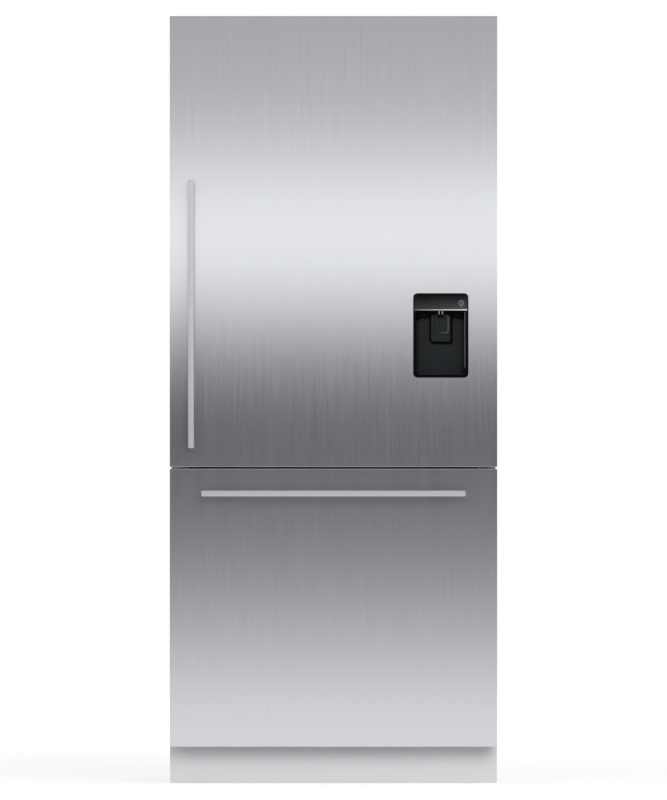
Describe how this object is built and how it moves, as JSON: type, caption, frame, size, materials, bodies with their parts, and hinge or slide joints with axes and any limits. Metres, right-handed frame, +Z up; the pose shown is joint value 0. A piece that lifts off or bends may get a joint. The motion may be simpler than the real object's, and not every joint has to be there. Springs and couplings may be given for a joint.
{
  "type": "bottom freezer refrigerator",
  "caption": "Tall stainless refrigerator with one hinged upper door, a water and ice dispenser in it, and a freezer drawer below, both with bar handles.",
  "frame": {"origin": "on the floor, under the middle of the whole: x midway between the sides, y midway between the handles' faces and the rear panel", "axes": "+Z up; the front faces -Y; +X is to the right of someone who stands before the refrigerator"},
  "size_m": [0.907, 0.673, 2.128],
  "materials": {
    "stainless": "satin",
    "handle_stainless": "satin",
    "toe_stainless": "satin",
    "case_paint": "satin",
    "galvanised": "matte",
    "bracket_steel": "satin",
    "foam": "matte",
    "door_foam": "matte",
    "liner_white": "satin",
    "clear_plastic": "gloss",
    "frosted_plastic": "satin",
    "shelf_glass": "gloss",
    "lamp_cover": "satin",
    "grey_rubber": "matte",
    "black_rubber": "matte",
    "black_gloss": "gloss",
    "black_satin": "satin",
    "black_enamel": "satin",
    "grey_plastic": "matte",
    "fan_plastic": "matte",
    "fin_aluminium": "satin"
  },
  "bodies": {
    "cabinet": {"cabinet_case": "case_paint", "rear_panel": "galvanised", "foam_insulation": "foam", "fridge_liner": "liner_white", "freezer_liner": "liner_white", "base_chassis": "galvanised", "toe_kick": "toe_stainless", "front_foot_left": "black_rubber", "front_foot_right": "black_rubber", "compressor": "black_enamel", "condenser": "fin_aluminium", "condenser_fan_shroud": "grey_plastic", "evaporator": "fin_aluminium", "freezer_duct_cover": "liner_white", "drip_tray": "grey_plastic", "control_box": "galvanised", "power_inlet": "black_satin", "water_valve": "grey_plastic", "ice_maker": "grey_plastic", "top_hinge": "bracket_steel", "bottom_hinge": "bracket_steel", "shelf_upper": "shelf_glass", "shelf_middle": "shelf_glass", "shelf_lower": "shelf_glass", "crisper_cover": "shelf_glass", "ceiling_lamp": "lamp_cover", "air_tower": "liner_white", "freezer_rail_left": "galvanised", "freezer_rail_right": "galvanised"},
    "door": {"door_panel": "stainless", "door_core": "door_foam", "door_liner": "liner_white", "door_gasket": "grey_rubber", "door_handle_bar": "handle_stainless", "door_handle_foot_upper": "handle_stainless", "door_handle_foot_lower": "handle_stainless", "door_bin_top": "clear_plastic", "door_bin_middle": "clear_plastic", "door_bin_bottom": "clear_plastic", "dispenser_housing": "black_satin", "dispenser_fascia": "black_gloss", "dispenser_spout": "black_satin"},
    "paddle": {"dispenser_paddle": "black_gloss"},
    "drawer": {"drawer_panel": "stainless", "drawer_core": "door_foam", "drawer_gasket": "grey_rubber", "drawer_frame": "bracket_steel", "freezer_bin": "clear_plastic", "drawer_handle_bar": "handle_stainless", "drawer_handle_foot_left": "handle_stainless", "drawer_handle_foot_right": "handle_stainless"},
    "slide_members": {"slide_middle_left": "galvanised", "slide_middle_right": "galvanised"},
    "tray": {"freezer_tray": "clear_plastic"},
    "left_crisper": {"crisper_left": "frosted_plastic"},
    "right_crisper": {"crisper_right": "frosted_plastic"},
    "condenser_fan_rotor": {"condenser_fan": "fan_plastic"},
    "evaporator_fan_rotor": {"evaporator_fan": "fan_plastic"},
    "left_roller": {"rear_roller_left": "grey_plastic"},
    "right_roller": {"rear_roller_right": "grey_plastic"}
  },
  "joints": [
    {"name": "door_hinge", "type": "hinge", "parent": "cabinet", "child": "door", "pos_m": [0.4375, -0.25055, 1.5], "axis": [0, 0, 1], "range_deg": [0, 115]},
    {"name": "drawer_slide", "type": "slide", "parent": "cabinet", "child": "drawer", "axis": [0, -1, 0], "range_m": [0, 0.42]},
    {"name": "slide_members_slide", "type": "slide", "parent": "cabinet", "child": "slide_members", "axis": [0, -1, 0], "range_m": [0, 0.21]},
    {"name": "tray_slide", "type": "slide", "parent": "cabinet", "child": "tray", "axis": [0, -1, 0], "range_m": [0, 0.252]},
    {"name": "crisper_left_slide", "type": "slide", "parent": "cabinet", "child": "left_crisper", "axis": [0, -1, 0], "range_m": [0, 0.22]},
    {"name": "crisper_right_slide", "type": "slide", "parent": "cabinet", "child": "right_crisper", "axis": [0, -1, 0], "range_m": [0, 0.22]},
    {"name": "dispenser_paddle_hinge", "type": "hinge", "parent": "door", "child": "paddle", "pos_m": [0.2972, -0.26685, 1.305], "axis": [1, 0, 0], "range_deg": [0, 10], "stiffness_Nm_per_rad": 0.5, "springref_deg": -9.74},
    {"name": "condenser_fan_spin", "type": "hinge", "parent": "cabinet", "child": "condenser_fan_rotor", "pos_m": [0.195, 0.225, 0.1433], "axis": [0, 1, 0], "continuous": true},
    {"name": "evaporator_fan_spin", "type": "hinge", "parent": "cabinet", "child": "evaporator_fan_rotor", "pos_m": [0, 0.215, 0.76], "axis": [0, 1, 0], "continuous": true},
    {"name": "rear_roller_left_spin", "type": "hinge", "parent": "cabinet", "child": "left_roller", "pos_m": [-0.4345, 0.28445, 0.025], "axis": [1, 0, 0], "continuous": true},
    {"name": "rear_roller_right_spin", "type": "hinge", "parent": "cabinet", "child": "right_roller", "pos_m": [0.4345, 0.28445, 0.025], "axis": [1, 0, 0], "continuous": true}
  ],
  "couplings": [
    {"joint": "slide_members_slide", "follows": "drawer_slide", "ratio": 0.5},
    {"joint": "tray_slide", "follows": "drawer_slide", "ratio": 0.6},
    {"joint": "crisper_left_slide", "follows": "door_hinge", "m_per_rad": 0.109},
    {"joint": "crisper_right_slide", "follows": "door_hinge", "m_per_rad": 0.109}
  ]
}
